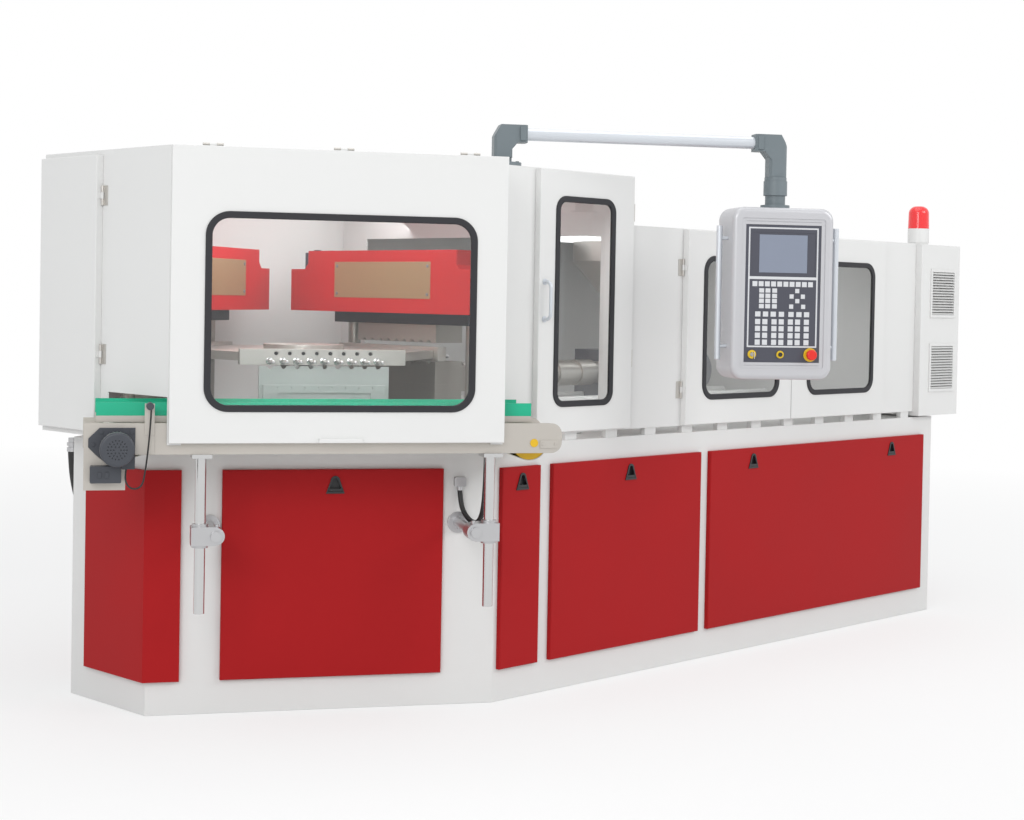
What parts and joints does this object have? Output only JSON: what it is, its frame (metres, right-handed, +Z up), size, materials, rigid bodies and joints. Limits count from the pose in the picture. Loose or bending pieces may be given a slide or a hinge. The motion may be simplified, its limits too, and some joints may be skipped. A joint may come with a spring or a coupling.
{
  "type": "blow moulding machine",
  "caption": "Injection blow moulding machine: white guarded housing on a base with red panels, rotary head, clamps, discharge conveyor and an operator panel on a swinging arm",
  "frame": {"origin": "on the floor under the vertical axis of the rotary head", "axes": "+X along the machine from the rotary head to the tail with the electrical cabinet, +Y to the rear, +Z up"},
  "size_m": [4.8102, 2.6397, 2.22],
  "materials": {
    "white_sheet": "satin white powder coat",
    "white_frame": "satin off-white paint",
    "red_sheet": "fine textured red powder coat",
    "black_plastic": "moulded, fine grain",
    "gasket": "matt extruded",
    "clear_pane": "clear, polished",
    "steel": "brushed stainless",
    "polished": "polished",
    "mould": "ground tool steel",
    "dark_steel": "dark machined",
    "red_dome": "translucent red moulding",
    "green_strip": "smooth low-friction plastic",
    "belt": "pale woven-backed belt",
    "yellow_drum": "gloss yellow paint",
    "motor": "dark paint over cast housing",
    "grey_cast": "grey-green hammer paint on a casting",
    "pale_tube": "satin anodised",
    "silver_case": "silver satin paint",
    "dark_fascia": "printed membrane, satin",
    "key_caps": "embossed membrane keys",
    "yellow_ring": "moulded",
    "red_button": "moulded",
    "tank": "grey-blue enamel",
    "cable": "matt black sheath"
  },
  "bodies": {
    "machine": {"arm_foot": "grey_cast", "base_frame": "white_frame", "base_panels": "red_sheet", "beacon_dome": "red_dome", "cabinet": "white_sheet", "clamp_covers": "red_sheet", "clamp_frames": "mould", "conduit": "cable", "drain_hose": "cable", "head_housing": "white_sheet", "hinge_leaves": "steel", "hydraulic_unit": "tank", "low_housing": "white_sheet", "machine_bed": "white_frame", "panel_grips": "black_plastic", "post_clamps": "dark_steel", "rear_pane": "clear_pane"},
    "guard": {"front_guard": "white_sheet", "guard_gasket": "gasket", "guard_pane": "clear_pane"},
    "end_leaf": {"end_door": "white_sheet"},
    "tall_leaf": {"tall_door": "white_sheet", "tall_gasket": "gasket", "tall_pane": "clear_pane", "tall_pull": "black_plastic"},
    "left_leaf": {"low_door_left": "white_sheet", "left_gasket": "gasket", "left_pane": "clear_pane"},
    "right_leaf": {"low_door_right": "white_sheet", "right_gasket": "gasket", "right_pane": "clear_pane"},
    "lift": {"index_shaft": "polished"},
    "head": {"index_head": "steel", "core_rods": "polished"},
    "injection_ram": {"injection_mould": "mould"},
    "blow_ram": {"blow_mould": "mould"},
    "stripper": {"stripper_comb": "steel"},
    "injection_carriage": {"barrel": "steel", "carriage": "dark_steel", "hopper": "steel"},
    "screw_shaft": {"screw": "polished"},
    "conveyor": {"conveyor_frame": "steel", "conveyor_belt": "belt", "belt_guides": "green_strip", "conveyor_posts": "polished", "conveyor_motor": "motor", "sensor_cable": "cable"},
    "drive": {"drive_drum": "steel"},
    "tail": {"tail_drum": "yellow_drum"},
    "arm": {"arm_elbows": "grey_cast", "arm_tube": "pale_tube"},
    "panel": {"panel_neck": "grey_cast", "panel_housing": "silver_case", "panel_fascia": "dark_fascia", "panel_keys": "key_caps", "panel_handles": "pale_tube", "panel_switch_rings": "yellow_ring"},
    "estop": {"estop_button": "red_button"},
    "key": {"key_switch": "polished"},
    "start": {"start_button": "black_plastic"}
  },
  "joints": [
    {"name": "guard_lift", "type": "hinge", "parent": "machine", "child": "guard", "pos_m": [-0.92128, -0.63138, 2.066], "axis": [-0.8541, 0.5201, 0], "range_deg": [0, 85]},
    {"name": "end_door_swing", "type": "hinge", "parent": "machine", "child": "end_leaf", "pos_m": [-1.046, -0.1324, 1.6], "axis": [0, 0, 1], "range_deg": [0, 80]},
    {"name": "tall_door_swing", "type": "hinge", "parent": "machine", "child": "tall_leaf", "pos_m": [0.9554, -0.935, 1.6], "axis": [0, 0, 1], "range_deg": [0, 80]},
    {"name": "left_door_swing", "type": "hinge", "parent": "machine", "child": "left_leaf", "pos_m": [1.3016, -0.935, 1.4], "axis": [0, 0, -1], "range_deg": [0, 70]},
    {"name": "right_door_swing", "type": "hinge", "parent": "machine", "child": "right_leaf", "pos_m": [2.8384, -0.935, 1.4], "axis": [0, 0, 1], "range_deg": [0, 105]},
    {"name": "injection_clamp", "type": "slide", "parent": "machine", "child": "injection_ram", "axis": [0, 0, 1], "range_m": [-0.08, 0]},
    {"name": "blow_clamp", "type": "slide", "parent": "machine", "child": "blow_ram", "axis": [0, 0, 1], "range_m": [-0.08, 0]},
    {"name": "head_lift", "type": "slide", "parent": "machine", "child": "lift", "axis": [0, 0, 1], "range_m": [-0.02, 0]},
    {"name": "head_index", "type": "hinge", "parent": "lift", "child": "head", "pos_m": [0, 0, 1.3], "axis": [0, 0, 1], "range_deg": [0, 360]},
    {"name": "bottle_strip", "type": "slide", "parent": "machine", "child": "stripper", "axis": [-0.5, -0.866, 0], "range_m": [0, 0.12]},
    {"name": "carriage_travel", "type": "slide", "parent": "machine", "child": "injection_carriage", "axis": [1, 0, 0], "range_m": [0, 0.08]},
    {"name": "screw_turn", "type": "hinge", "parent": "injection_carriage", "child": "screw_shaft", "pos_m": [1.4, 0, 1.2], "axis": [1, 0, 0], "continuous": true},
    {"name": "conveyor_height", "type": "slide", "parent": "machine", "child": "conveyor", "axis": [0, 0, 1], "range_m": [-0.08, 0], "deforming": ["conduit"]},
    {"name": "drive_turn", "type": "hinge", "parent": "conveyor", "child": "drive", "pos_m": [-1.0938, -0.31674, 1.022], "axis": [-0.5201, -0.8541, 0], "continuous": true},
    {"name": "tail_turn", "type": "hinge", "parent": "conveyor", "child": "tail", "pos_m": [0.17709, -1.09068, 1.022], "axis": [-0.5201, -0.8541, 0], "continuous": true},
    {"name": "arm_swing", "type": "hinge", "parent": "machine", "child": "arm", "pos_m": [0.28, -0.85, 2.15], "axis": [0, 0, -1], "range_deg": [-8, 40]},
    {"name": "panel_turn", "type": "hinge", "parent": "arm", "child": "panel", "pos_m": [1.20904, -1.47194, 2.04], "axis": [0, 0, 1], "range_deg": [-30, 30]},
    {"name": "estop_push", "type": "slide", "parent": "panel", "child": "estop", "axis": [0.5563, 0.831, 0], "range_m": [0, 0.004], "stiffness_N_per_m": 800},
    {"name": "key_turn", "type": "hinge", "parent": "panel", "child": "key", "pos_m": [1.04091, -1.50018, 1.3465], "axis": [-0.5563, -0.831, 0], "range_deg": [0, 90]},
    {"name": "start_push", "type": "slide", "parent": "panel", "child": "start", "axis": [0.5563, 0.831, 0], "range_m": [0, 0.003], "stiffness_N_per_m": 400}
  ],
  "couplings": [
    {"joint": "blow_clamp", "follows": "injection_clamp", "ratio": 1},
    {"joint": "head_lift", "follows": "injection_clamp", "ratio": 0.25},
    {"joint": "tail_turn", "follows": "drive_turn", "ratio": 1}
  ]
}
